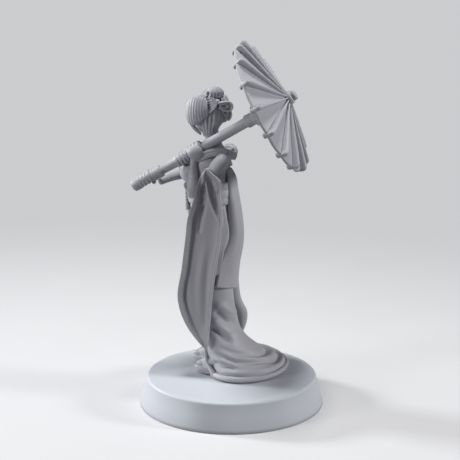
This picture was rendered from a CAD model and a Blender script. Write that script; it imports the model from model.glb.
import math

import bmesh
import bpy
import numpy as np
from mathutils import Matrix, Vector


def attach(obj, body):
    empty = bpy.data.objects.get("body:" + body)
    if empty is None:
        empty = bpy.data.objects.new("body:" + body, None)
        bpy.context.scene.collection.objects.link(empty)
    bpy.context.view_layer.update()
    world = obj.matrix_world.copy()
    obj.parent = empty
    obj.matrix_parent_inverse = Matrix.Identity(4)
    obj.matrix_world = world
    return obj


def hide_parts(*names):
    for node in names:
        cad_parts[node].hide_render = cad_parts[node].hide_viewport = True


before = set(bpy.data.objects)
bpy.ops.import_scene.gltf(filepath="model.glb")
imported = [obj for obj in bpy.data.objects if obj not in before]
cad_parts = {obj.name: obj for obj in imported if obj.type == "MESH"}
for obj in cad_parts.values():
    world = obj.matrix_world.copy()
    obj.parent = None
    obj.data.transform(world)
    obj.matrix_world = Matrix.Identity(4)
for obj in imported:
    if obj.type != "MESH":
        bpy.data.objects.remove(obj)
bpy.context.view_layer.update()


# Base. A plain round disc of pale cast resin, turned with a slight taper and a softly
# rounded top edge. The figure is glued to the middle of its top.
def smooth_mesh(name, points, faces):
    """A smooth-shaded object from points in millimetres."""
    mesh = bpy.data.meshes.new(name)
    mesh.from_pydata((np.asarray(points, float) * 0.001).tolist(), [], faces)
    bm = bmesh.new()
    bm.from_mesh(mesh)
    bmesh.ops.recalc_face_normals(bm, faces=bm.faces)
    bm.to_mesh(mesh)
    bm.free()
    mesh.shade_smooth()
    made = bpy.data.objects.new(name, mesh)
    bpy.context.scene.collection.objects.link(made)
    return made


def grid_faces(rows, columns):
    """Quads between closed rings of points."""
    i, j = np.meshgrid(np.arange(rows - 1), np.arange(columns), indexing="ij")
    ahead = (j + 1) % columns
    low, high = i * columns, (i + 1) * columns
    quads = np.stack([low + j, low + ahead, high + ahead, high + j], -1)
    return quads.reshape(-1, 4).tolist()


def capped(name, rings):
    """A closed piece from a stack of rings, with a fan at both ends."""
    rings = np.asarray(rings, float)
    rows, columns = rings.shape[:2]
    faces = grid_faces(rows, columns)
    points = rings.reshape(-1, 3).tolist()
    for start in (0, (rows - 1) * columns):
        points.append(np.mean(points[start:start + columns], axis=0).tolist())
        faces += [(start + k, start + (k + 1) % columns, len(points) - 1) for k in range(columns)]
    return smooth_mesh(name, points, faces)


def turned(name, profile, place=Matrix.Identity(4), sides=96):
    """A lathe-turned piece from rows of (radius, height)."""
    spin = np.linspace(0, math.tau, sides, endpoint=False)
    rings = []
    for radius, height in profile:
        ring = np.stack([radius * np.cos(spin), radius * np.sin(spin), np.full(sides, height)], -1)
        rings.append(ring @ np.array(place.to_3x3()).T + np.array(place.translation))
    return capped(name, rings)


def resin_group():
    """Surface of unpainted cast resin: faint mottling, fine grain and uneven sheen."""
    group = bpy.data.node_groups.new("cast_resin_surface", "ShaderNodeTree")
    face = group.interface
    tint = face.new_socket("Tint", in_out="INPUT", socket_type="NodeSocketColor")
    tint.default_value = (0.4, 0.4, 0.44, 1.0)
    for name, value in (("Mottle", 0.04), ("Grain", 0.1), ("Roughness", 0.5)):
        face.new_socket(name, in_out="INPUT", socket_type="NodeSocketFloat").default_value = value
    face.new_socket("Colour", in_out="OUTPUT", socket_type="NodeSocketColor")
    face.new_socket("Sheen Spread", in_out="OUTPUT", socket_type="NodeSocketFloat")
    face.new_socket("Normal", in_out="OUTPUT", socket_type="NodeSocketVector")
    nodes, links = group.nodes, group.links
    given, out = nodes.new("NodeGroupInput"), nodes.new("NodeGroupOutput")
    where = nodes.new("ShaderNodeTexCoord")
    cloud = nodes.new("ShaderNodeTexNoise")
    cloud.inputs["Scale"].default_value = 420.0
    cloud.inputs["Detail"].default_value = 4.0
    links.new(where.outputs["Object"], cloud.inputs["Vector"])
    centred = nodes.new("ShaderNodeMath")
    centred.operation = "SUBTRACT"
    centred.inputs[1].default_value = 0.5
    links.new(cloud.outputs["Fac"], centred.inputs[0])
    mottle = nodes.new("ShaderNodeMath")
    mottle.operation = "MULTIPLY_ADD"
    mottle.inputs[2].default_value = 1.0
    links.new(centred.outputs[0], mottle.inputs[0])
    links.new(given.outputs["Mottle"], mottle.inputs[1])
    shade = nodes.new("ShaderNodeVectorMath")
    shade.operation = "SCALE"
    links.new(given.outputs["Tint"], shade.inputs[0])
    links.new(mottle.outputs[0], shade.inputs["Scale"])
    links.new(shade.outputs[0], out.inputs["Colour"])
    grain = nodes.new("ShaderNodeTexNoise")
    grain.inputs["Scale"].default_value = 9000.0
    grain.inputs["Detail"].default_value = 2.0
    links.new(where.outputs["Object"], grain.inputs["Vector"])
    spread = nodes.new("ShaderNodeMath")
    spread.operation = "MULTIPLY_ADD"
    spread.inputs[1].default_value = 0.12
    links.new(centred.outputs[0], spread.inputs[0])
    links.new(given.outputs["Roughness"], spread.inputs[2])
    links.new(spread.outputs[0], out.inputs["Sheen Spread"])
    bump = nodes.new("ShaderNodeBump")
    bump.inputs["Distance"].default_value = 0.00002
    links.new(grain.outputs["Fac"], bump.inputs["Height"])
    links.new(given.outputs["Grain"], bump.inputs["Strength"])
    links.new(bump.outputs["Normal"], out.inputs["Normal"])
    return group


RESIN_SURFACE = resin_group()


def resin(name, tint, roughness=0.5, mottle=0.04, grain=0.1):
    """A cast resin material in one tint."""
    look = bpy.data.materials.new(name)
    look.use_nodes = True
    nodes, links = look.node_tree.nodes, look.node_tree.links
    shader = nodes["Principled BSDF"]
    surface = nodes.new("ShaderNodeGroup")
    surface.node_tree = RESIN_SURFACE
    surface.inputs["Tint"].default_value = (*tint, 1.0)
    surface.inputs["Mottle"].default_value = mottle
    surface.inputs["Grain"].default_value = grain
    surface.inputs["Roughness"].default_value = roughness
    links.new(surface.outputs["Colour"], shader.inputs["Base Color"])
    links.new(surface.outputs["Sheen Spread"], shader.inputs["Roughness"])
    links.new(surface.outputs["Normal"], shader.inputs["Normal"])
    shader.inputs["Specular IOR Level"].default_value = 0.35
    return look


def place_piece(piece, look, node):
    """Give a piece its material and fix it to the figurine's body."""
    piece.data.materials.clear()
    piece.data.materials.append(look)
    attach(piece, "root")
    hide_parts(node)


BASE_HEIGHT = 3.8
EDGE_ROUND, ROUND_CENTRE = 0.38, 11.2
base_profile = [(0.3, 0.0), (6.0, 0.0), (12.35, 0.0), (12.46, 0.02), (12.5, 0.09), (12.42, 0.5), (12.05, 2.0)]
for step in range(9):
    turn = math.radians(90.0 * step / 8)
    base_profile.append((ROUND_CENTRE + EDGE_ROUND * math.cos(turn),
                         BASE_HEIGHT - EDGE_ROUND + EDGE_ROUND * math.sin(turn)))
base_profile += [(radius, BASE_HEIGHT) for radius in (10.9, 8.0, 4.0, 0.5)]
base_resin = resin("base_resin", (0.52, 0.545, 0.59), roughness=0.48, mottle=0.05)
place_piece(turned("base_disc", base_profile, sides=256), base_resin, "base")


# Clogs and feet. Thick-soled clogs with socked feet in them, the right one a step ahead.
# They are cast in one with the figure, of light grey resin, and stand flat on the base.
figure_resin = resin("figure_resin", (0.4, 0.4, 0.435), roughness=0.5)


def cast(piece):
    """Make a piece part of the one-piece figure."""
    place_piece(piece, figure_resin, "figure")


def squared(wave, power):
    """A sine or cosine wave with squarer shoulders."""
    return np.sign(wave) * np.abs(wave) ** power


def through(keys, spots):
    """Smooth values at the spots, through rows of (spot, value, value, ...)."""
    rows = np.asarray(keys, float)
    at, values = rows[:, 0], rows[:, 1:]
    slopes = np.gradient(values, at, axis=0)
    spots = np.clip(np.atleast_1d(spots), at[0], at[-1])
    i = np.clip(np.searchsorted(at, spots) - 1, 0, len(at) - 2)
    span = (at[i + 1] - at[i])[:, None]
    f = (spots[:, None] - at[i][:, None]) / span
    start = (1 + 2 * f) * (1 - f) ** 2
    end = f * f * (3 - 2 * f)
    return (start * values[i] + f * (1 - f) ** 2 * span * slopes[i]
            + end * values[i + 1] + f * f * (f - 1) * span * slopes[i + 1])


def tube_rings(keys, sides=24, spans=40, flat=1.0, side=(1.0, 0.0, 0.0)):
    """Rings along a round or flattened tube through rows of (x, y, z, radius)."""
    keys = np.asarray(keys, float)
    steps = np.r_[0.0, np.cumsum(np.linalg.norm(np.diff(keys[:, :3], axis=0), axis=1))]
    path = through(np.c_[steps, keys], np.linspace(0, steps[-1], spans + 1))
    forward = np.gradient(path[:, :3], axis=0)
    across = Vector(side)
    rings = []
    for point, ahead in zip(path, forward):
        ahead = Vector(ahead).normalized()
        across = (across - ahead * across.dot(ahead)).normalized()
        up = ahead.cross(across)
        spin = np.linspace(0, math.tau, sides, endpoint=False)[:, None]
        spokes = np.cos(spin) * np.array(across) + flat * np.sin(spin) * np.array(up)
        rings.append(point[:3] + point[3] * spokes)
    return np.array(rings)


def add_rings(bm, rings):
    """Add a closed stack of rings to a mesh being built."""
    rows, columns = rings.shape[:2]
    verts = [[bm.verts.new(point) for point in ring] for ring in rings]
    for low, high in zip(verts, verts[1:]):
        for k in range(columns):
            bm.faces.new((low[k], low[(k + 1) % columns], high[(k + 1) % columns], high[k]))
    for row, flip in ((verts[0], True), (verts[-1], False)):
        hub = bm.verts.new(sum((vert.co for vert in row), Vector()) / columns)
        for k in range(columns):
            pair = (row[k], row[(k + 1) % columns])
            bm.faces.new((pair[1], pair[0], hub) if flip else (pair[0], pair[1], hub))


def limb(bm, keys, sides=24, spans=30, flat=1.0, side=(1.0, 0.0, 0.0)):
    """Add a tube through rows of (x, y, z, radius)."""
    add_rings(bm, tube_rings(keys, sides, spans, flat, side))


def ball(bm, centre, radii, place=Matrix.Identity(4), lean=(0.0, 0.0, 0.0)):
    """Add an ellipsoid, leaning by three angles in degrees."""
    made = bmesh.ops.create_uvsphere(bm, u_segments=40, v_segments=24, radius=1.0)
    turn = Matrix.Identity(4)
    for angle, axis in zip(lean, "XYZ"):
        turn = Matrix.Rotation(math.radians(angle), 4, axis) @ turn
    shape = place @ Matrix.Translation(centre) @ turn @ Matrix.Diagonal((*radii, 1.0))
    bmesh.ops.transform(bm, matrix=shape, verts=made["verts"])


def melded(name, bm, grain, rounds):
    """Meld overlapping forms into one soft skin, as a sculptor blends them."""
    bmesh.ops.recalc_face_normals(bm, faces=bm.faces)
    mesh = bpy.data.meshes.new(name)
    bm.to_mesh(mesh)
    bm.free()
    made = bpy.data.objects.new(name, mesh)
    bpy.context.scene.collection.objects.link(made)
    remesh = made.modifiers.new("skin", "REMESH")
    remesh.mode = "VOXEL"
    remesh.voxel_size = grain
    smooth = made.modifiers.new("soften", "SMOOTH")
    smooth.factor = 0.5
    smooth.iterations = rounds
    bpy.context.view_layer.update()
    seen = made.evaluated_get(bpy.context.evaluated_depsgraph_get())
    skin = bpy.data.meshes.new_from_object(seen)
    made.modifiers.clear()
    made.data = skin
    skin.transform(Matrix.Scale(0.001, 4))
    skin.shade_smooth()
    return made


GLUE_LINE = 0.12
FIGURE_FOOT = BASE_HEIGHT + GLUE_LINE
CLOG_LENGTH, CLOG_WIDTH, SOLE = 5.4, 2.0, 1.12


def clog(name, x, toe):
    """One clog with its foot, strap and split sock, its toe at the given y."""
    bm = bmesh.new()
    spin = np.linspace(0, math.tau, 64, endpoint=False)
    rings = []
    for height, grow in ((0.0, -0.42), (0.25, -0.2), (0.6, -0.05), (0.98, 0.0), (1.1, -0.04), (SOLE, -0.2)):
        side = squared(np.sin(spin), 0.7) * (CLOG_WIDTH / 2 + grow)
        front = squared(np.cos(spin), 0.7) * (CLOG_LENGTH / 2 + grow)
        level = np.full(64, FIGURE_FOOT + height)
        rings.append(np.stack([x + side, toe + CLOG_LENGTH / 2 - front, level], -1))
    add_rings(bm, np.array(rings))

    def key(across, behind, up, radius):
        """A point and radius, measured from the toe and the top of the sole."""
        return (x + across, toe + behind, FIGURE_FOOT + SOLE + up, radius)

    for across, radius, behind in ((0.33, 0.42, 0.45), (-0.3, 0.36, 0.65)):
        limb(bm, [key(across, behind, 0.15, radius * 0.75), key(across, behind + 0.5, 0.3, radius),
                  key(across * 0.8, 1.9, 0.45, radius * 1.2)])
    limb(bm, [key(0, 1.2, 0.3, 0.7), key(0, 1.9, 0.42, 0.88), key(0, 3.0, 0.95, 0.92),
              key(0, 4.2, 2.4, 0.95)])
    for hand in (-1, 1):
        for lift in (0.0, 0.16):
            limb(bm, [key(0.05, 0.85 + lift, 0.62, 0.13), key(0.45 * hand, 1.2 + lift, 0.62, 0.14),
                      key(0.85 * hand, 1.9 + lift, 0.25, 0.13), key(0.95 * hand, 2.3 + lift, 0, 0.13)],
                 sides=12)
    limb(bm, [key(0.04, 0.5, 0, 0.12), key(0.04, 0.65, 0.45, 0.13), key(0.04, 0.95, 0.68, 0.13)],
         sides=12, spans=10)
    cast(melded(name, bm, 0.075, 2))


clog("clog_left", 1.75, -4.6)
clog("clog_right", -2.0, -6.9)


# Kimono. One heavy layered gown, cast with the body. It trails behind the feet in ripples
# and stands open over them, with a fat padded hem all round its edge.
def grid_normals(points):
    """Outward normals on a grid of closed rings."""
    around = np.roll(points, -1, 1) - np.roll(points, 1, 1)
    along = np.gradient(points, axis=0)
    normals = np.cross(around, along)
    normals /= np.maximum(np.linalg.norm(normals, axis=-1, keepdims=True), 1e-9)
    middle = points.mean(axis=1, keepdims=True)
    if np.mean(np.sum((points - middle) * normals, -1)) < 0:
        normals = -normals
    return normals


FOLD_FADE = 0.18


def fold(points, normals, line, lift, width):
    """Raise or sink the cloth beside a line, fading over a share of it at both ends."""
    line = np.asarray(line, float)
    steps = np.r_[0.0, np.cumsum(np.linalg.norm(np.diff(line, axis=0), axis=1))]
    line = through(np.c_[steps, line], np.linspace(0, steps[-1], 28))
    nearest = np.full(points.shape[:-1], 1e9)
    share = np.zeros(points.shape[:-1])
    for k, (a, b) in enumerate(zip(line, line[1:])):
        run = b - a
        t = np.clip(((points - a) @ run) / (run @ run), 0, 1)
        far = np.linalg.norm(points - a - t[..., None] * run, axis=-1)
        closer = far < nearest
        nearest = np.where(closer, far, nearest)
        share = np.where(closer, (k + t) / (len(line) - 1), share)
    ends = np.clip(np.minimum(share, 1 - share) / FOLD_FADE, 0, 1)
    ends = ends * ends * (3 - 2 * ends)
    return points + normals * (lift * ends * np.exp(-(nearest / width) ** 2))[..., None]


GOWN = [
    # height, centre x, centre y, half width, half length to the front, half length to the back
    (4.2, -2.7, 1.2, 6.25, 4.85, 4.9), (4.7, -2.7, 1.2, 6.2, 4.9, 4.95), (5.0, -2.6, 1.1, 6.1, 4.8, 4.85),
    (5.5, -2.35, 0.85, 5.75, 4.4, 4.4), (6.3, -1.65, 0.0, 4.9, 3.75, 3.9), (7.7, -0.85, -1.0, 4.0, 3.0, 3.4),
    (9.4, -0.2, -1.75, 3.3, 2.8, 3.0), (12.0, 0.1, -2.2, 2.8, 2.8, 2.75), (15.0, 0.2, -2.45, 2.6, 2.75, 2.55),
    (19.0, 0.2, -2.5, 2.7, 2.85, 2.65), (23.5, 0.2, -2.4, 2.85, 3.0, 2.8), (26.5, 0.2, -2.8, 2.6, 2.8, 2.75),
    (28.5, 0.2, -3.0, 2.5, 2.75, 2.7), (30.3, 0.2, -3.1, 2.6, 2.8, 2.7), (32.0, 0.2, -3.0, 2.85, 2.9, 2.6),
    (33.3, 0.2, -2.5, 2.8, 2.3, 2.1), (34.2, 0.2, -2.3, 1.9, 1.6, 1.5), (34.8, 0.25, -2.3, 1.2, 1.2, 1.15),
]

GOWN_FOLDS = [
    # line over the cloth, lift, width
    ([(2.7, -1.6, 13.9), (2.1, -0.6, 13.7), (0.8, 0.3, 12.8), (-1.2, 0.4, 12.3)], 0.22, 0.5),
    ([(2.7, -1.5, 13.0), (2.4, -0.7, 12.5), (1.7, 0.1, 11.6), (0.0, 0.7, 11.2)], -0.3, 0.42),
    ([(2.8, -1.7, 11.9), (2.6, -0.8, 11.3), (2.1, 0.0, 10.5), (1.6, 0.7, 9.7)], 0.3, 0.45),
    ([(2.9, -1.8, 11.2), (2.8, -0.8, 10.3), (2.3, 0.2, 9.3), (1.6, 1.1, 8.8)], -0.34, 0.42),
    ([(3.1, -1.2, 8.7), (2.8, 0.2, 7.9), (2.3, 1.2, 7.5), (0.8, 2.7, 7.0), (-1.8, 3.8, 6.4), (-3.6, 3.6, 6.3),
      (-5.2, 2.6, 6.4), (-5.6, 0.6, 6.6)], -0.24, 0.4),
    ([(3.2, -1.2, 8.1), (2.8, 0.5, 7.4), (2.4, 1.5, 6.9), (1.2, 2.9, 6.6), (-1.0, 4.1, 6.1), (-2.9, 4.4, 5.9),
      (-5.0, 4.0, 5.9), (-6.6, 2.6, 6.0), (-6.6, 0.4, 6.0)], 0.22, 0.42),
    ([(3.2, -1.3, 7.6), (3.1, 0.3, 7.0), (2.8, 1.4, 6.5), (2.0, 2.7, 6.2), (1.1, 3.5, 6.1), (-0.3, 4.4, 5.9),
      (-2.0, 5.2, 5.5), (-4.4, 5.0, 5.4), (-6.9, 3.7, 5.5), (-7.6, 1.4, 5.6), (-7.2, -0.6, 5.7)], -0.3, 0.38),
    ([(2.9, -1.8, 6.8), (3.2, -0.3, 6.6), (3.0, 1.2, 6.2), (2.7, 2.3, 5.9), (1.3, 3.9, 5.7), (-0.5, 4.9, 5.5),
      (-2.2, 5.5, 5.3)], 0.2, 0.32),
    ([(2.8, -1.5, 6.1), (3.2, -0.2, 5.9), (3.3, 1.0, 5.8), (2.9, 2.4, 5.6)], -0.3, 0.32),
    ([(2.9, -1.2, 5.3), (3.4, 0.2, 5.2), (3.4, 2.0, 5.15), (1.9, 4.1, 5.2), (-0.7, 5.5, 5.1),
      (-3.0, 5.9, 5.1), (-5.4, 5.4, 5.1), (-7.6, 4.0, 5.1), (-8.4, 1.6, 5.1), (-8.0, -0.6, 5.1)], 0.16, 0.35),
    ([(-3.2, -2.5, 12.5), (-4.4, -1.6, 9.0), (-6.0, -0.6, 6.4)], 0.2, 0.5),
    ([(-2.3, -4.0, 13.0), (-3.4, -3.1, 9.0), (-4.8, -2.4, 6.2)], -0.22, 0.4),
    ([(0.6, -5.1, 20.0), (0.2, -4.6, 12.0), (0.1, -3.8, 8.4)], -0.2, 0.35),
    ([(-0.6, -5.2, 24.0), (-0.5, -4.7, 15.0), (-0.6, -4.1, 9.6)], 0.15, 0.4),
    ([(1.5, -4.9, 24.5), (1.6, -4.2, 16.0), (1.5, -3.5, 10.0)], 0.15, 0.4),
]

gown_heights = np.r_[np.linspace(4.2, 9.0, 110), np.linspace(9.06, 34.8, 130)]
gown_rows = through(GOWN, gown_heights)
spin = np.linspace(0, math.tau, 300, endpoint=False)
east, south = np.sin(spin)[None, :], np.cos(spin)[None, :]
centre_x, centre_y, half_width, to_front, to_back = (gown_rows[:, k][:, None] for k in range(5))
gown_x = centre_x + half_width * east
gown_y = centre_y - np.where(south > 0, to_front, to_back) * south
opening = np.where(south > 0, np.clip(1.0 - ((gown_x - 0.1) / 2.3) ** 4, 0, 1), 0.0)
drop = np.clip((9.5 - gown_heights) / 4.0, 0, 1)[:, None]
gown_y = gown_y + 0.7 * opening * drop
near_floor = np.clip(1.0 - (gown_heights[:, None] - 3.9) / 3.0, 0, 1)
gown_z = gown_heights[:, None] + 1.6 * opening * near_floor
gown_points = np.stack([gown_x, gown_y, gown_z], -1)
gown_normals = grid_normals(gown_points)
for line, lift, width in GOWN_FOLDS:
    gown_points = fold(gown_points, gown_normals, line, lift, width)
cast(capped("kimono_gown", gown_points))

HEM = 0.38
TRAIL_X, TRAIL_Y = -2.7, 1.2
TRAIL_HALF_WIDTH, TRAIL_HALF_LENGTH = 6.47, 5.12
hem_low = FIGURE_FOOT + HEM
hem_keys = [(2.5, -2.55, 10.2, 0.16), (2.5, -2.7, 9.0, 0.24), (2.45, -2.7, 7.6, 0.28),
            (2.4, -2.45, 5.7, 0.32), (2.95, -1.3, hem_low, HEM)]
for degrees in range(60, 301, 16):
    turn = math.radians(degrees)
    hem_keys.append((TRAIL_X + TRAIL_HALF_WIDTH * math.sin(turn),
                     TRAIL_Y - TRAIL_HALF_LENGTH * math.cos(turn), hem_low, HEM))
hem_keys += [(-7.3, -1.9, hem_low, HEM), (-5.3, -3.4, hem_low + 0.2, HEM), (-3.2, -3.95, 5.8, HEM * 0.95),
             (-2.6, -3.75, 7.7, HEM * 0.85), (-2.4, -3.4, 9.5, HEM * 0.6)]
cast(capped("kimono_hem", tube_rings(hem_keys, sides=40, spans=260, side=(0, 0, 1))))


# Sleeves. Two long hanging sleeves of the same casting, flat bags of cloth cupped between
# a thick front roll and a piped back edge. Each hangs from the elbow, where its folds gather.
SLEEVE_WALL = 0.72
SLEEVE_CUP, ELBOW_CUP = 0.66, 0.4
FRONT_ROLL, BACK_PIPING, STITCH = 0.5, 0.36, 0.12
LEFT_SLEEVE = [
    # height, front edge x, y, back edge x, y, share of the wall
    (8.0, 3.75, -2.1, 3.75, -1.8, 0.4), (8.9, 3.95, -2.9, 3.8, -1.6, 0.7),
    (10.7, 4.2, -4.3, 3.7, -1.5, 0.85), (12.5, 4.4, -5.2, 3.6, -1.35, 0.95),
    (14.8, 4.5, -5.75, 3.5, -1.2, 1.0), (18.9, 4.3, -5.25, 3.3, -0.7, 1.0),
    (23.1, 4.1, -4.75, 3.05, -0.1, 1.0), (25.9, 4.0, -4.4, 3.0, 0.15, 1.0),
    (27.6, 3.95, -3.8, 3.05, 0.0, 1.1), (29.2, 3.85, -3.35, 3.15, -0.1, 1.2),
    (30.2, 3.8, -3.1, 3.2, 0.1, 1.3), (30.9, 3.75, -2.85, 3.25, -0.1, 1.4),
    (31.4, 3.75, -2.6, 3.3, -0.6, 1.9), (31.9, 3.7, -2.3, 3.4, -1.2, 2.0),
    (32.4, 3.6, -2.0, 3.45, -1.7, 1.6),
]

RIGHT_SLEEVE = [
    (8.7, -3.5, -0.1, -3.45, 0.15, 0.5), (10.0, -3.7, -1.2, -3.6, 0.55, 0.8),
    (11.7, -3.8, -2.4, -3.55, 0.6, 0.95), (13.2, -3.9, -3.4, -3.3, -0.1, 1.0),
    (15.5, -4.0, -4.6, -3.2, -0.5, 1.0), (19.8, -3.9, -5.3, -3.2, -0.2, 1.0),
    (24.0, -3.7, -5.6, -3.1, -0.2, 1.0), (27.0, -3.4, -6.2, -3.0, -0.6, 1.1),
    (29.0, -3.1, -6.8, -3.0, -1.2, 1.4), (30.6, -2.7, -6.9, -2.9, -1.8, 1.8),
    (32.2, -2.5, -4.2, -2.6, -2.0, 2.0),
]


def step_down(value, start, end):
    """1 before start, 0 after end, smooth between."""
    t = np.clip((value - start) / (end - start), 0, 1)
    return 1 - t * t * (3 - 2 * t)


def crease(points, normals, outer, line, lift, width):
    """Raise or sink the outer wall along a line given as y and height, fading at its ends."""
    path = through([(k, *spot) for k, spot in enumerate(line)], np.linspace(0, len(line) - 1, 60))
    gap = np.linalg.norm(points[:, :, None, 1:] - path[None, None], axis=-1)
    nearest = gap.argmin(-1)
    swell = np.exp(-(gap.min(-1) / width) ** 2) * np.sin(math.pi * np.clip((nearest + 3) / 65, 0, 1)) ** 0.5
    return points + normals * (lift * swell * outer)[..., None]


def sleeve(name, keys, outward, folds):
    """One sleeve from its table of edges, with its folds."""
    heights = np.linspace(keys[0][0], keys[-1][0], 220)
    angle = np.linspace(0, math.tau, 130, endpoint=False)
    reach = 0.5 - 0.5 * np.cos(angle)
    face = squared(np.sin(angle), 0.45)
    outer = face > 0
    rings = []
    for height, row in zip(heights, through(keys, heights)):
        front, back, share = row[:2], row[2:4], row[4]
        run = back - front
        length = np.linalg.norm(run)
        normal = np.array([run[1], -run[0]]) / length
        if normal[0] * outward < 0:
            normal = -normal
        from_front, from_back = reach * length, (1 - reach) * length
        size = length / (length ** 4 + 3.0 ** 4) ** 0.25
        deep = SLEEVE_CUP + ELBOW_CUP * math.exp(-((height - 28.5) / 3.0) ** 2)
        cup = -deep * size * (1.0 - (2 * reach - 1.0) ** 4)
        roll = FRONT_ROLL * step_down(from_front, 0.7 * size, 0.9 * size)
        piping = BACK_PIPING * step_down(from_back, 0.46 * size, 0.6 * size)
        groove = -STITCH * np.exp(-((from_back - 0.34 * size) / 0.07) ** 2)
        trim = np.where(outer, size * (roll + piping + groove) * np.abs(face), 0.0)
        off = 0.5 * SLEEVE_WALL * share * face + cup + trim
        spot = front + run * reach[:, None] + normal * off[:, None]
        rings.append(np.c_[spot, np.full(len(angle), height)])
    points = np.array(rings)
    normals = grid_normals(points)
    for line, lift, width in folds:
        points = crease(points, normals, outer, line, lift, width)
    cast(capped(name, points))


sleeve("sleeve_left", LEFT_SLEEVE, 1, [
    ([(-2.0, 31.6), (-2.1, 30.9), (-1.95, 29.6), (-1.62, 27.9), (-0.87, 26.3), (-0.2, 25.7)], 0.34, 0.22),
    ([(-2.5, 30.2), (-2.5, 29.4), (-2.65, 27.5), (-3.1, 24.0)], -0.4, 0.28),
    ([(-1.5, 30.9), (-1.3, 29.6), (-0.9, 28.0), (-0.5, 26.9)], -0.45, 0.3),
    ([(-1.2, 31.3), (-0.7, 30.6), (-0.5, 29.7), (-0.35, 28.2), (-0.1, 26.9)], 0.22, 0.2),
    ([(-2.2, 22.0), (-2.9, 17.0), (-2.9, 12.0)], 0.16, 0.6),
    ([(-1.9, 21.0), (-2.1, 16.0), (-2.1, 11.5)], -0.12, 0.4),
    ([(-3.9, 21.0), (-4.3, 16.5), (-3.9, 12.5)], 0.12, 0.5),
])
sleeve("sleeve_right", RIGHT_SLEEVE, -1, [
    ([(-3.6, 31.4), (-3.4, 28.0), (-2.8, 24.0)], 0.3, 0.25),
    ([(-4.6, 31.0), (-4.8, 28.0), (-4.4, 24.0)], 0.25, 0.25),
    ([(-2.6, 31.2), (-1.8, 28.0), (-1.2, 25.0)], 0.25, 0.22),
    ([(-3.0, 22.0), (-2.6, 17.0), (-1.8, 12.5)], 0.14, 0.55),
])


# Obi. A stiff sash wound over the waist and cast with the gown, tied with a small knot and
# cords in front. Its two tails fall down the back, the short one beside the long one.
OBI_STEPS = [
    # height, how far the sash stands off the gown
    (27.3, -0.1), (27.36, 0.18), (27.5, 0.28), (28.1, 0.36), (28.25, 0.3), (28.4, 0.38), (29.2, 0.42),
    (29.35, 0.35), (29.5, 0.4), (30.1, 0.32), (30.3, 0.22), (30.36, -0.1),
]
spin = np.linspace(0, math.tau, 180, endpoint=False)
obi_rings = []
for height, stand in OBI_STEPS:
    centre_x, centre_y, half_width, to_front, to_back = through(GOWN, height)[0]
    x = centre_x + (half_width + stand) * np.sin(spin)
    y = centre_y - (to_front + stand) * np.cos(spin)
    obi_rings.append(np.stack([x, y, np.full(180, height)], -1))
cast(capped("obi_band", obi_rings))

bm = bmesh.new()
ball(bm, (0.75, -6.1, 29.3), (0.62, 0.42, 0.5))
for shift in (-0.55, 0.5):
    ball(bm, (0.75 + shift, -6.0, 29.5 + 0.2 * shift), (0.6, 0.34, 0.42), lean=(0, 25 * shift, 0))
for shift, length in ((-0.25, 3.3), (0.3, 2.6)):
    keys = [(0.75 + shift, -6.15, 28.9, 0.2), (0.8 + shift, -6.05, 28.9 - 0.5 * length, 0.2),
            (0.85 + shift, -5.95, 28.9 - length, 0.26)]
    limb(bm, keys, sides=16)
    for k in range(6):
        height = 28.6 - length * 0.86 * k / 5
        ball(bm, (0.78 + shift + 0.01 * k, -6.1 + 0.02 * k, height), (0.27, 0.27, 0.15), lean=(20, 15, 0))
cast(melded("obi_knot", bm, 0.07, 1))

LONG_TAIL = [
    # height, then x, y of seven points across, from the near edge to the far one
    (15.6, 3.0, -0.95, 2.5, -0.5, 1.9, -0.1, 1.1, 0.15, 0.1, 0.35, -0.9, 0.2, -1.9, -0.9),
    (17.8, 2.7, -0.75, 2.2, -0.4, 1.6, 0.0, 0.9, 0.35, 0.0, 0.5, -0.9, 0.35, -2.0, -0.9),
    (19.6, 2.2, -0.45, 1.8, -0.1, 1.3, 0.3, 0.7, 0.6, -0.1, 0.75, -1.0, 0.6, -2.1, -0.7),
    (21.3, 1.5, -0.15, 1.35, 0.2, 0.95, 0.6, 0.4, 0.85, -0.3, 1.0, -1.1, 0.9, -2.2, -0.5),
    (23.0, 0.95, 0.05, 0.95, 0.45, 0.65, 0.85, 0.2, 1.05, -0.3, 1.15, -1.1, 1.05, -2.25, -0.4),
    (26.0, 0.75, 0.0, 0.8, 0.35, 0.55, 0.7, 0.1, 0.85, -0.4, 0.9, -1.1, 0.8, -2.2, -0.45),
    (29.0, 0.75, -0.2, 0.7, 0.1, 0.45, 0.28, 0.1, 0.38, -0.4, 0.4, -1.0, 0.3, -2.0, -0.5),
    (31.2, 0.6, -0.4, 0.45, -0.2, 0.2, -0.05, -0.05, 0.0, -0.4, 0.0, -0.8, -0.1, -1.5, -0.7),
    (32.0, 0.4, -0.65, 0.25, -0.55, 0.1, -0.5, -0.05, -0.45, -0.3, -0.45, -0.6, -0.5, -1.0, -0.75),
]


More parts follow.
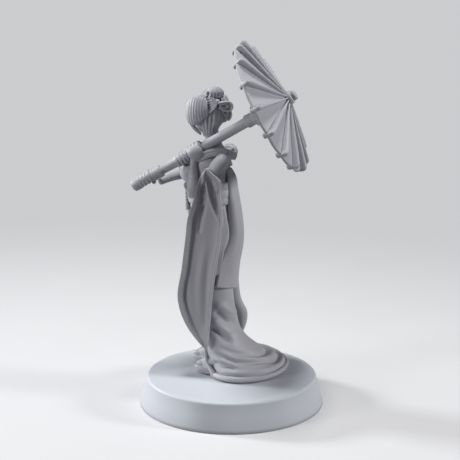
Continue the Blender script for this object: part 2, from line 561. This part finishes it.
def hanging(name, keys, wall, low, high, slant=0.0):
    """A hanging strip of cloth with a soft section, from a table of its width at each height."""
    heights = np.linspace(low, high, 180)
    across = 50
    rings = []
    for height, row in zip(heights, through(keys, heights)):
        spots = through(np.c_[np.arange(7), row.reshape(7, 2)], np.linspace(0, 6, across))
        run = np.gradient(spots, axis=0)
        normal = np.stack([run[:, 1], -run[:, 0]], -1) / np.linalg.norm(run, axis=1, keepdims=True)
        edge = np.linspace(-1, 1, across)
        piping = 1 + 0.35 * np.exp(-((np.abs(edge) - 0.93) / 0.045) ** 2)
        half = wall / 2 * np.sqrt(np.clip(1 - np.abs(edge) ** 14, 0.02, 1)) * piping
        end = np.clip(min(height - low, high - height) / 0.12, 0.35, 1) ** 0.5
        outer = spots + normal * half[:, None] * end
        inner = spots - normal * half[:, None] * end
        ring = np.r_[outer, inner[::-1]]
        level = height + slant * (1 - edge) / 2 * math.exp((low - height) / 3.0)
        rings.append(np.c_[ring, np.r_[level, level[::-1]]])
    cast(capped(name, rings))


hanging("obi_tail_long", LONG_TAIL, 0.5, 15.6, 32.0, slant=0.9)

SHORT_TAIL = [
    (18.1, 3.0, -1.15, 2.9, -1.05, 2.85, -0.95, 2.75, -0.85, 2.7, -0.75, 2.6, -0.65, 2.5, -0.6),
    (20.4, 2.8, -1.0, 2.7, -0.9, 2.6, -0.8, 2.5, -0.65, 2.4, -0.5, 2.3, -0.35, 2.15, -0.25),
    (22.3, 2.6, -0.9, 2.5, -0.75, 2.35, -0.6, 2.2, -0.45, 2.05, -0.3, 1.9, -0.15, 1.75, -0.05),
    (24.6, 2.4, -0.9, 2.3, -0.7, 2.15, -0.5, 2.0, -0.3, 1.85, -0.15, 1.7, 0.0, 1.6, 0.1),
    (27.0, 2.3, -1.1, 2.2, -1.0, 2.1, -0.9, 2.0, -0.8, 1.9, -0.7, 1.8, -0.6, 1.7, -0.5),
]
hanging("obi_tail_short", SHORT_TAIL, 0.36, 18.1, 27.0)


# Chest, shoulders and collar. Bare shoulders, cast with the gown, rise out of it. Its wide
# stiff collar is worn off them, stands clear of the nape and crosses low over the chest.
BODY_MIDDLE = 0.2
bm = bmesh.new()
for side in (-1, 1):
    ball(bm, (BODY_MIDDLE + 1.35 * side, -5.0, 31.6), (1.6, 1.7, 1.75))
    ball(bm, (BODY_MIDDLE + 1.35 * side, -1.9, 32.9), (0.95, 1.0, 1.0))
limb(bm, [(0.25, -2.3, 32.6, 2.4), (0.25, -2.2, 33.6, 1.9), (0.28, -2.3, 34.5, 1.3),
          (0.35, -2.45, 35.3, 1.03), (0.45, -2.7, 36.4, 1.0), (0.55, -2.9, 38.4, 1.15)], sides=40)
cast(melded("shoulders", bm, 0.09, 3))

COLLAR_HALF = [
    # x from the middle, y, height, half width
    (0.0, 0.5, 33.75, 0.55), (0.85, 0.25, 34.0, 0.56), (1.75, -0.6, 34.45, 0.56), (2.5, -1.8, 34.3, 0.54),
    (2.85, -3.1, 33.7, 0.52), (2.65, -4.6, 33.2, 0.5), (2.0, -6.0, 32.9, 0.48), (1.2, -6.7, 32.2, 0.44),
    (0.6, -6.7, 31.2, 0.4), (0.2, -6.2, 30.2, 0.38),
]


def band(name, keys, thick, side):
    """A flat rounded band with a stitched groove along its outer face."""
    rings = tube_rings(keys, sides=64, spans=150, side=side)
    middle = rings.mean(axis=1, keepdims=True)
    axis = rings[:, 0:1] - middle
    size = np.linalg.norm(axis, axis=-1, keepdims=True)
    axis = axis / size
    spoke = (rings - middle) / size
    along = np.sum(spoke * axis, -1, keepdims=True)
    out = spoke - along * axis
    spin = np.linspace(0, math.tau, 64, endpoint=False)[None, :, None]
    wide = squared(np.cos(spin), 0.6)
    deep = np.abs(np.sin(spin)) ** 0.6
    out = out / np.maximum(np.linalg.norm(out, axis=-1, keepdims=True), 1e-6)
    seam = 1 - 0.28 * np.exp(-((wide - 0.15) / 0.13) ** 2)
    points = middle + axis * wide * size + out * deep * thick * seam
    cast(capped(name, points))


for side, name in ((1, "collar_left"), (-1, "collar_right")):
    keys = [(BODY_MIDDLE + side * x, y, z, half) for x, y, z, half in COLLAR_HALF]
    band(name, keys, 0.3, (0.0, 0.2, 1.0))


# Arms and hands. The left elbow is bent sharply so that its hand holds the shaft over the
# shoulder; the right arm reaches across the chest to the shaft's end.
SHAFT_FOOT = Vector((5.0, -11.9, 29.6))
heading, rise = math.radians(104.9), math.radians(30.2)
shaft_along = Vector((math.cos(rise) * math.cos(heading), math.cos(rise) * math.sin(heading), math.sin(rise)))
shaft_level = Vector((-math.sin(heading), math.cos(heading), 0.0))
SHAFT = Matrix.Translation(SHAFT_FOOT) @ Matrix(
    (shaft_level, shaft_along.cross(shaft_level), shaft_along)).transposed().to_4x4()


def on_shaft(along, degrees, reach):
    """A point beside the shaft: 180 is the figure's left, 90 is up, 0 its right."""
    turn = math.radians(degrees)
    return SHAFT @ Vector((reach * math.cos(turn), reach * math.sin(turn), along))


FINGER_PITCH = 0.5


def fist(bm, grip, core, palm, curl, thumb):
    """A closed hand: the palm's path, four curled fingers and a thumb, by angles round the shaft."""
    limb(bm, [(*SHAFT @ Vector((0, 0, grip + end)), core + 0.1) for end in (-1.0, 1.0)], sides=32, spans=8)
    keys = [(*on_shaft(grip + shift, degrees, reach), half) for shift, degrees, reach, half in palm]
    limb(bm, keys, sides=32, spans=24, flat=0.42, side=shaft_along)
    for k in range(4):
        spot = grip + FINGER_PITCH * (k - 1.5)
        arc = []
        for step in range(13):
            t = step / 12
            knuckle = 0.1 * math.exp(-((t - 0.15) / 0.1) ** 2) + 0.06 * math.exp(-((t - 0.55) / 0.1) ** 2)
            degrees = curl[0] + (curl[1] - curl[0]) * t
            point = on_shaft(spot, degrees, core + 0.12 + knuckle)
            arc.append((*point, 0.31 - 0.04 * t - 0.02 * abs(k - 1.5)))
        limb(bm, arc, sides=16, spans=40)
    arc = []
    for step in range(7):
        t = step / 6
        degrees = thumb[0] + (thumb[1] - thumb[0]) * t
        along = grip + thumb[2] + (thumb[3] - thumb[2]) * t
        arc.append((*on_shaft(along, degrees, core + 0.3), 0.34 - 0.1 * t))
    limb(bm, arc, sides=16, spans=24)


bm = bmesh.new()
limb(bm, [(1.2, -0.3, 34.0, 0.8), (1.85, -0.45, 33.4, 0.98), (2.3, -0.9, 32.6, 1.0), (2.6, -1.45, 31.7, 0.9),
          (2.3, -2.2, 30.5, 0.65), (2.4, -3.1, 29.3, 0.6), (3.2, -3.8, 28.4, 0.5)], sides=40)
limb(bm, [(3.4, -3.95, 28.4, 0.6), (3.45, -3.95, 29.4, 0.74), (3.4, -3.95, 31.2, 0.64),
          (3.2, -3.95, 32.9, 0.48), (3.15, -3.95, 33.5, 0.48)], sides=40)
LEFT_GRIP = 9.75
left_palm = [(-0.1, 262, 1.25, 0.5), (-0.05, 232, 1.12, 0.7), (0.0, 200, 1.0, 0.95),
             (0.0, 172, 0.95, 0.98), (0.0, 142, 0.85, 0.95)]
fist(bm, LEFT_GRIP, 0.66, left_palm, (160, -30), (262, 335, 0.45, 0.9))
cast(melded("arm_left", bm, 0.07, 1))

bm = bmesh.new()
limb(bm, [(-1.6, -1.9, 33.1, 1.1), (-2.3, -2.6, 32.4, 1.2), (-2.5, -4.4, 31.5, 1.0),
          (-2.3, -6.2, 30.9, 0.8)], sides=40)
limb(bm, [(-2.3, -6.2, 30.9, 0.8), (-0.6, -7.3, 30.8, 0.72), (1.4, -8.3, 30.5, 0.58),
          (3.1, -9.0, 30.1, 0.46)], sides=40)
RIGHT_GRIP = 1.95
right_palm = [(0.3, 330, 1.3, 0.5), (0.2, 352, 1.1, 0.72), (0.0, 385, 0.95, 0.92), (0.0, 410, 0.8, 0.85)]
fist(bm, RIGHT_GRIP, 0.56, right_palm, (405, 600), (330, 250, 0.6, 0.75))
cast(melded("arm_right", bm, 0.075, 1))


# Head and face. A plain oval head, turned towards the right shoulder, with lowered eyelids,
# a small nose and closed lips.
HEAD = Matrix.Translation((0.6, -3.1, 39.2)) @ Matrix.Rotation(math.radians(-25.0), 4, "Z")
bm = bmesh.new()
ball(bm, (0, 0, 0.15), (1.9, 2.2, 2.5), HEAD)
limb(bm, [(*(HEAD @ Vector((0, -0.3, -0.4))), 1.55), (*(HEAD @ Vector((0, -0.75, -1.2))), 1.3),
          (*(HEAD @ Vector((0, -1.05, -2.0))), 0.95), (*(HEAD @ Vector((0, -1.15, -2.45))), 0.6)], sides=40)
ball(bm, (0, -1.2, 0.55), (1.45, 0.95, 0.9), HEAD)
for side in (-1, 1):
    ball(bm, (0.72 * side, -1.55, -0.85), (0.62, 0.45, 0.6), HEAD)
    ball(bm, (0.68 * side, -1.83, -0.1), (0.42, 0.26, 0.2), HEAD, lean=(0, 6 * side, 0))
    ball(bm, (0.22 * side, -2.3, -0.92), (0.14, 0.16, 0.12), HEAD)
    ball(bm, (1.82 * side, 0.1, -0.55), (0.16, 0.34, 0.5), HEAD, lean=(15, 0, 0))
limb(bm, [(*(HEAD @ Vector((0, -2.0, 0.25))), 0.16), (*(HEAD @ Vector((0, -2.25, -0.4))), 0.2),
          (*(HEAD @ Vector((0, -2.42, -0.85))), 0.22)], sides=16)
ball(bm, (0, -2.02, -1.36), (0.36, 0.22, 0.085), HEAD)
ball(bm, (0, -1.98, -1.52), (0.3, 0.22, 0.1), HEAD)
ball(bm, (0, -1.75, -2.15), (0.4, 0.35, 0.35), HEAD)
cast(melded("head", bm, 0.08, 2))


# Hair. Combed strands swept into two side wings and a front roll, gathered to a tie at the
# back under a looped topknot, and finished with a ribbon bow; all one with the head.
def strand(bm, keys, thick, ends=0.7, sides=12, spans=26):
    """Add one lock of hair through points in the head's own axes, thinner at both ends."""
    last = len(keys) - 1
    rows = []
    for k, key in enumerate(keys):
        fade = ends + (1 - ends) * math.sin(math.pi * k / last) ** 0.5
        rows.append((*(HEAD @ Vector(key)), thick * fade))
    limb(bm, rows, sides=sides, spans=spans)


def between(first, second, t):
    """Points of two equal lines of keys, mixed at t."""
    return [tuple(a + (b - a) * t for a, b in zip(p, q)) for p, q in zip(first, second)]


def place_hair(name, bm, grain=0.06, rounds=0):
    """Meld the locks into one mass and fix it on the figure."""
    cast(melded(name, bm, grain, rounds))


WING_TOPS = [(2.1, -0.95, 1.6), (2.45, -0.3, 2.0), (2.25, 0.45, 2.25), (1.8, 1.05, 2.2), (1.4, 1.4, 1.75)]
WING_MIDDLES = [(2.5, -1.2, 0.5), (2.95, -0.35, 0.6), (2.85, 0.55, 0.6), (2.4, 1.3, 0.75), (1.75, 1.8, 0.8)]
WING_ENDS = [(2.2, -0.95, -1.1), (2.55, -0.3, -1.2), (2.4, 0.5, -1.15), (2.05, 1.2, -0.6), (1.5, 1.65, 0.0)]
for side, name in ((1, "hair_wing_left"), (-1, "hair_wing_right")):
    bm = bmesh.new()
    ball(bm, (1.4 * side, 0.15, 0.45), (1.0, 1.35, 1.35), HEAD)
    rows = [through(np.c_[np.arange(5), np.array(line)], np.linspace(0, 4, 11))
            for line in (WING_TOPS, WING_MIDDLES, WING_ENDS)]
    for top, middle, end in zip(*rows):
        inner = (0.5 * top[0], 0.6 * top[1], top[2] - 0.2)
        tuck = (0.55 * end[0], 0.7 * end[1], end[2] + 0.25)
        keys = [inner, top, middle, end, tuck]
        strand(bm, [(x * side, y, z) for x, y, z in keys], 0.2, 0.85)
    lock = [(1.9, -1.2, 1.9), (2.35, -1.3, 0.9), (2.4, -1.25, -0.1), (2.15, -1.0, -1.1), (1.65, -0.5, -2.1),
            (1.2, 0.0, -2.7)]
    for shift in (0.0, 0.22):
        strand(bm, [((x - shift) * side, y - shift, z) for x, y, z in lock], 0.26, 0.5)
    place_hair(name, bm)

bm = bmesh.new()
ball(bm, (0.0, -0.25, 1.3), (1.5, 1.5, 1.3), HEAD)
for k in range(9):
    reach = -1.6 + 0.32 * k
    top = 2.95 - 0.45 * abs(reach - 0.2) ** 1.5
    left = [(1.7, 0.6 * reach, top - 1.4), (1.5, 0.9 * reach, top - 0.75), (0.85, reach, top - 0.15)]
    right = [(-x, y, z) for x, y, z in reversed(left)]
    strand(bm, left + [(0.0, reach, top)] + right, 0.2)
place_hair("hair_crown", bm)

bm = bmesh.new()
ball(bm, (0.05, 1.4, 2.6), (0.8, 0.55, 0.55), HEAD)
for k in range(7):
    x = 0.32 * (k - 3)
    wide = 0.72 - 0.035 * (k - 3) ** 2
    roll = [(x, 1.42 - 1.05 * wide * math.cos(turn), 2.68 + wide * math.sin(turn))
            for turn in np.linspace(-1.0, 4.6, 11)]
    strand(bm, roll, 0.19, 0.9)
place_hair("hair_topknot", bm)

bm = bmesh.new()
ball(bm, (0.0, 1.05, 0.95), (1.25, 1.1, 1.15), HEAD)
for side in (-1, 1):
    first = [(1.3 * side, 1.3, 2.1), (0.95 * side, 1.9, 2.1), (0.35 * side, 2.35, 1.85)]
    last = [(1.35 * side, 1.7, 0.15), (1.0 * side, 2.2, 0.65), (0.3 * side, 2.45, 1.6)]
    for k in range(6):
        strand(bm, between(first, last, k / 5), 0.17, 0.6)
ball(bm, (0.25, 2.35, 1.72), (0.3, 0.28, 0.3), HEAD)
place_hair("hair_fan", bm, grain=0.055)

bm = bmesh.new()
ball(bm, (0.0, 0.35, -0.4), (1.35, 1.6, 2.0), HEAD)
ball(bm, (0.0, 0.2, -2.2), (0.8, 0.75, 1.0), HEAD)
for k in range(11):
    turn = math.radians(17.0 * (k - 5))
    wave = 0.05 * (-1) ** k
    fall = [(1.55, 1.2), (1.85 + wave, 0.5), (1.95 + wave, -0.2), (1.75 + wave, -0.95), (1.3, -1.6),
            (1.05, -2.1), (0.78, -2.9)]
    strand(bm, [(r * math.sin(turn), 0.15 + r * math.cos(turn), z) for r, z in fall], 0.22, 0.7)
place_hair("hair_back", bm)

bm = bmesh.new()
ribbon_side = HEAD.to_3x3() @ Vector((0.643, 0.766, 0.0))
RIBBON_LOOPS = [
    # half width, then the loop's middle line in the head's own axes
    (0.42, [(0.3, 2.4, 1.5), (-0.5, 2.75, 1.6), (-1.15, 3.0, 1.55), (-1.45, 3.05, 1.05), (-1.25, 2.95, 0.55),
            (-0.5, 2.6, 0.6), (0.2, 2.4, 1.0)]),
    (0.36, [(0.1, 2.4, 1.3), (-0.5, 2.6, 1.3), (-1.0, 2.8, 1.1), (-0.5, 2.6, 0.85), (0.1, 2.4, 1.1)]),
    (0.34, [(-0.3, 2.3, 0.8), (-1.0, 2.35, 0.75), (-1.6, 2.5, 0.4), (-1.75, 2.5, -0.2), (-1.45, 2.35, -0.75),
            (-1.05, 2.2, -0.2), (-0.4, 2.3, 0.5)]),
]
for half, loop in RIBBON_LOOPS:
    keys = [(*(HEAD @ Vector(point)), half) for point in loop]
    limb(bm, keys, sides=24, spans=60, flat=0.42, side=ribbon_side)
place_hair("hair_ribbon", bm, grain=0.06)


# Parasol shaft. A round rod, cast in one with the hands that close on it: a knob at its end,
# five turns of cord above the right hand, four rings below the left one, and a flared runner.
def raised_ring(middle, root, shoulder, bulge, reach, half):
    """Profile rows of one raised ring on a rod."""
    return [(root, middle - half), (shoulder, middle - reach), (bulge, middle), (shoulder, middle + reach),
            (root, middle + half)]


shaft_profile = [(0.3, -0.14), (0.6, -0.12), (0.74, 0.0), (0.8, 0.25), (0.8, 1.0), (0.72, 1.22),
                 (0.58, 1.4), (0.56, 1.6), (0.56, 2.75)]
for k in range(5):
    shaft_profile += raised_ring(2.95 + 0.32 * k, 0.77, 0.83, 0.84, 0.08, 0.15)
shaft_profile += [(0.58, 4.5), (0.6, 5.2), (0.66, 6.6)]
for middle, bulge in ((7.05, 0.84), (7.5, 0.92), (8.0, 0.94), (8.45, 0.86)):
    shaft_profile += raised_ring(middle, 0.74, bulge - 0.05, bulge, 0.13, 0.22)
shaft_profile += [(0.66, 8.75), (0.66, 12.0), (0.66, 17.2), (0.7, 17.36), (0.84, 17.42), (0.88, 17.55),
                  (0.86, 18.1), (0.86, 18.4), (0.95, 18.5), (1.2, 18.62), (1.27, 18.8), (1.25, 19.0),
                  (1.1, 19.1), (0.66, 19.12), (0.64, 21.0), (0.64, 23.7), (0.3, 23.75)]
cast(turned("parasol_shaft", shaft_profile, SHAFT, 72))
hub_profile = [(0.5, 23.5), (0.84, 23.55), (0.88, 23.7), (0.86, 24.05), (0.76, 24.16), (0.6, 24.18),
               (0.6, 24.26), (0.66, 24.34), (0.66, 24.56), (0.56, 24.7), (0.3, 24.76)]
cast(turned("parasol_hub", hub_profile, SHAFT, 64))


# Canopy. Sixteen flat panels of oiled paper over bamboo ribs: a shallow cone with a narrow
# turned-down lip, leaning a little on its shaft. The ribs rise over the paper towards its
# edge, bend down there and end in blunt feet; struts hold them from the runner.
RIBS, APEX = 16, 23.7
CANOPY_RADIUS, CANOPY_DEPTH, LIP, PAPER = 8.92, 2.6, 0.36, 0.3
lean_heading = math.radians(-33.0)
lean_axis = Vector((math.cos(lean_heading), math.sin(lean_heading), 0.0))
CROWN = (SHAFT @ Matrix.Translation((0, 0, APEX)) @ Matrix.Rotation(math.radians(3.3), 4, lean_axis)
         @ Matrix.Translation((0, 0, -APEX)))
local_near = SHAFT.to_3x3().transposed() @ Vector((1.0, 0.0, 0.0))
FIRST_RIB = math.atan2(local_near.y, local_near.x) + math.radians(2.3)


def cover_height(radius):
    """Height of the paper's outside at a radius, along the shaft."""
    return APEX - CANOPY_DEPTH * radius / CANOPY_RADIUS


def canopy_shell():
    """The paper cover with its slightly hollow panels and lip."""
    steps = 16
    edge = cover_height(CANOPY_RADIUS)
    outer = [(radius, cover_height(radius), 1.0) for radius in CANOPY_RADIUS * np.linspace(0.05, 0.99, 26)]
    outer += [(CANOPY_RADIUS + 0.02, edge - 0.05, 1.0), (CANOPY_RADIUS + 0.05, edge - 0.14, 1.0),
              (CANOPY_RADIUS + 0.04, edge - LIP + 0.05, 1.0), (CANOPY_RADIUS - 0.02, edge - LIP, 1.0),
              (CANOPY_RADIUS - 0.16, edge - LIP, 1.0), (CANOPY_RADIUS - 0.3, edge - LIP + 0.06, 0.9)]
    outer += [(radius, cover_height(radius) - PAPER, 0.8)
              for radius in CANOPY_RADIUS * np.linspace(0.94, 0.05, 16)]
    rings = []
    spin = np.arange(RIBS * steps)
    swing = np.abs((spin % steps) / steps - 0.5) * 2
    angle = FIRST_RIB + math.tau * spin / (RIBS * steps)
    chord = math.cos(math.pi / RIBS) / np.cos(math.pi / RIBS * swing)
    for radius, height, sag in outer:
        drop = 0.1 * sag * np.cos(math.pi / 2 * swing) ** 2 * radius / CANOPY_RADIUS
        ring = np.stack([radius * chord * np.cos(angle), radius * chord * np.sin(angle), height - drop], -1)
        rings.append(ring @ np.array(CROWN.to_3x3()).T + np.array(CROWN.translation))
    return capped("canopy_paper", rings)


cast(canopy_shell())

RIB_PATH = [
    # inner radius and height, outer radius and height, half width
    (0.45, 23.4, 0.45, 23.86, 0.08), (2.5, 22.8, 2.5, 23.36, 0.16), (5.5, 21.94, 5.5, 22.72, 0.23),
    (7.8, 21.2, 7.8, 22.22, 0.29), (8.35, 21.0, 8.5, 22.05, 0.3), (8.5, 20.95, 8.88, 21.93, 0.31),
    (8.56, 20.92, 9.1, 21.74, 0.31), (8.54, 20.88, 9.16, 21.42, 0.3), (8.44, 20.7, 9.02, 20.98, 0.29),
    (8.3, 20.5, 8.9, 20.64, 0.33), (8.22, 20.36, 8.84, 20.42, 0.36), (8.34, 20.28, 8.7, 20.28, 0.26),
]


def canopy_rib(turn):
    """Rings of one rib, a tall rounded bar that rises over the paper and bends down past it."""
    path = np.array(RIB_PATH)
    steps = np.r_[0.0, np.cumsum(np.linalg.norm(np.diff(path[:, 2:4], axis=0), axis=1) + 0.05)]
    spots = np.r_[np.linspace(0, 7.9, 20), np.linspace(8.0, steps[-1], 50)]
    spin = np.linspace(0, math.tau, 24, endpoint=False)
    across = squared(np.cos(spin), 0.75)
    up = 0.5 + 0.5 * squared(np.sin(spin), 0.75)
    rings = []
    for low_r, low_z, high_r, high_z, half in through(np.c_[steps, path], spots):
        ring = np.stack([low_r + (high_r - low_r) * up, half * across, low_z + (high_z - low_z) * up], -1)
        rings.append(ring @ np.array(turn.to_3x3()).T + np.array(turn.translation))
    return np.array(rings)


bm = bmesh.new()
for k in range(RIBS):
    turn = CROWN @ Matrix.Rotation(FIRST_RIB + math.tau * k / RIBS, 4, "Z")
    add_rings(bm, canopy_rib(turn))
    low, high = turn @ Vector((0.95, 0, 18.75)), turn @ Vector((5.0, 0, cover_height(5.0) - 0.25))
    limb(bm, [(*low, 0.2), (*low.lerp(high, 0.5), 0.17), (*high, 0.2)], sides=12, spans=12)
bmesh.ops.recalc_face_normals(bm, faces=bm.faces)
mesh = bpy.data.meshes.new("canopy_ribs")
bm.to_mesh(mesh)
bm.free()
mesh.transform(Matrix.Scale(0.001, 4))
mesh.shade_smooth()
ribs = bpy.data.objects.new("canopy_ribs", mesh)
bpy.context.scene.collection.objects.link(ribs)
cast(ribs)


# Floor, lamps and camera. A pale plain card, darker to the light that it throws back; a key
# lamp overhead, a rim lamp at each side and a weak low lamp from the camera's left.
def area_lamp(name, spot, aim, size, power, colour):
    """A square lamp that looks at a point."""
    lamp = bpy.data.lights.new(name, "AREA")
    lamp.shape = "SQUARE"
    lamp.size = size
    lamp.energy = power
    lamp.color = colour
    holder = bpy.data.objects.new(name, lamp)
    holder.location = spot
    holder.rotation_euler = (Vector(aim) - Vector(spot)).to_track_quat("-Z", "Y").to_euler()
    bpy.context.scene.collection.objects.link(holder)


floor_mesh = bpy.data.meshes.new("floor")
CARD_HALF, CARD_DROP = 3, -0.00002
corners = [(x * CARD_HALF, y * CARD_HALF, CARD_DROP) for x, y in ((-1, -1), (1, -1), (1, 1), (-1, 1))]
floor_mesh.from_pydata(corners, [], [(0, 1, 2, 3)])
floor = bpy.data.objects.new("floor", floor_mesh)
bpy.context.scene.collection.objects.link(floor)
floor_look = bpy.data.materials.new("floor_card")
floor_look.use_nodes = True
nodes, links = floor_look.node_tree.nodes, floor_look.node_tree.links
card = nodes["Principled BSDF"]
card.inputs["Roughness"].default_value = 0.9
card.inputs["Specular IOR Level"].default_value = 0.1
fleck = nodes.new("ShaderNodeTexNoise")
fleck.inputs["Scale"].default_value = 300.0
mix = nodes.new("ShaderNodeMix")
mix.data_type = "RGBA"
mix.inputs["A"].default_value = (0.6, 0.6, 0.61, 1.0)
mix.inputs["B"].default_value = (0.64, 0.64, 0.65, 1.0)
links.new(fleck.outputs["Fac"], mix.inputs["Factor"])
seen = nodes.new("ShaderNodeLightPath")
mirrored = nodes.new("ShaderNodeMath")
mirrored.operation = "ADD"
links.new(seen.outputs["Is Glossy Ray"], mirrored.inputs[0])
links.new(seen.outputs["Is Transmission Ray"], mirrored.inputs[1])
viewed = nodes.new("ShaderNodeMath")
viewed.operation = "ADD"
viewed.use_clamp = True
links.new(seen.outputs["Is Camera Ray"], viewed.inputs[0])
links.new(mirrored.outputs[0], viewed.inputs[1])
tone = nodes.new("ShaderNodeMix")
tone.data_type = "RGBA"
tone.inputs["A"].default_value = (0.14, 0.14, 0.15, 1.0)
links.new(viewed.outputs[0], tone.inputs["Factor"])
links.new(mix.outputs["Result"], tone.inputs["B"])
links.new(tone.outputs["Result"], card.inputs["Base Color"])
glow = nodes.new("ShaderNodeEmission")
BACKGROUND = (0.6, 0.605, 0.62, 1.0)
glow.inputs["Color"].default_value = BACKGROUND
place = nodes.new("ShaderNodeTexCoord")
away = nodes.new("ShaderNodeVectorMath")
away.operation = "LENGTH"
links.new(place.outputs["Object"], away.inputs[0])
fade = nodes.new("ShaderNodeMapRange")
fade.interpolation_type = "SMOOTHSTEP"
fade.inputs["From Min"].default_value = 0.02
fade.inputs["From Max"].default_value = 0.14
links.new(away.outputs["Value"], fade.inputs["Value"])
share = nodes.new("ShaderNodeMath")
share.operation = "MULTIPLY"
links.new(viewed.outputs[0], share.inputs[0])
links.new(fade.outputs[0], share.inputs[1])
surface = nodes.new("ShaderNodeMixShader")
links.new(share.outputs[0], surface.inputs["Fac"])
links.new(card.outputs[0], surface.inputs[1])
links.new(glow.outputs[0], surface.inputs[2])
links.new(surface.outputs[0], nodes["Material Output"].inputs["Surface"])
floor_mesh.materials.append(floor_look)

world = bpy.data.worlds.new("studio")
bpy.context.scene.world = world
world.use_nodes = True
sky, ways = world.node_tree.nodes, world.node_tree.links
air = sky["Background"]
air.inputs["Color"].default_value = (0.62, 0.64, 0.68, 1.0)
air.inputs["Strength"].default_value = 0.05
seen_air = sky.new("ShaderNodeBackground")
seen_air.inputs["Color"].default_value = BACKGROUND
seen_air.inputs["Strength"].default_value = 1.0
path = sky.new("ShaderNodeLightPath")
blend = sky.new("ShaderNodeMixShader")
ways.new(path.outputs["Is Camera Ray"], blend.inputs["Fac"])
ways.new(air.outputs[0], blend.inputs[1])
ways.new(seen_air.outputs[0], blend.inputs[2])
ways.new(blend.outputs[0], sky["World Output"].inputs["Surface"])

FIGURE_MIDDLE = (0.0, 0.0, 0.024)
area_lamp("key", (0.02, 0.0, 0.33), FIGURE_MIDDLE, 0.06, 0.8, (1.0, 1.0, 1.0))
area_lamp("left_rim", (0.02, -0.28, 0.11), FIGURE_MIDDLE, 0.05, 0.8, (0.96, 0.98, 1.0))
area_lamp("right_rim", (-0.06, 0.27, 0.1), FIGURE_MIDDLE, 0.05, 0.5, (1.0, 1.0, 1.0))
area_lamp("front_fill", (0.23, -0.16, 0.07), FIGURE_MIDDLE, 0.07, 0.3, (1.0, 1.0, 1.0))

lens = bpy.data.cameras.new("photo_camera")
lens.lens = 85.0
lens.sensor_width = 36.0
lens.clip_start, lens.clip_end = 0.01, 10.0
camera = bpy.data.objects.new("photo_camera", lens)
camera.location = (0.12796, 0.05945, 0.05433)
CAMERA_TILT = 0.21339
level = math.cos(CAMERA_TILT)
look = Vector((-0.9063 * level, -0.4226 * level, -math.sin(CAMERA_TILT)))
camera.rotation_euler = look.to_track_quat("-Z", "Y").to_euler()
bpy.context.scene.collection.objects.link(camera)
bpy.context.scene.camera = camera
bpy.context.scene.view_settings.view_transform = "Standard"
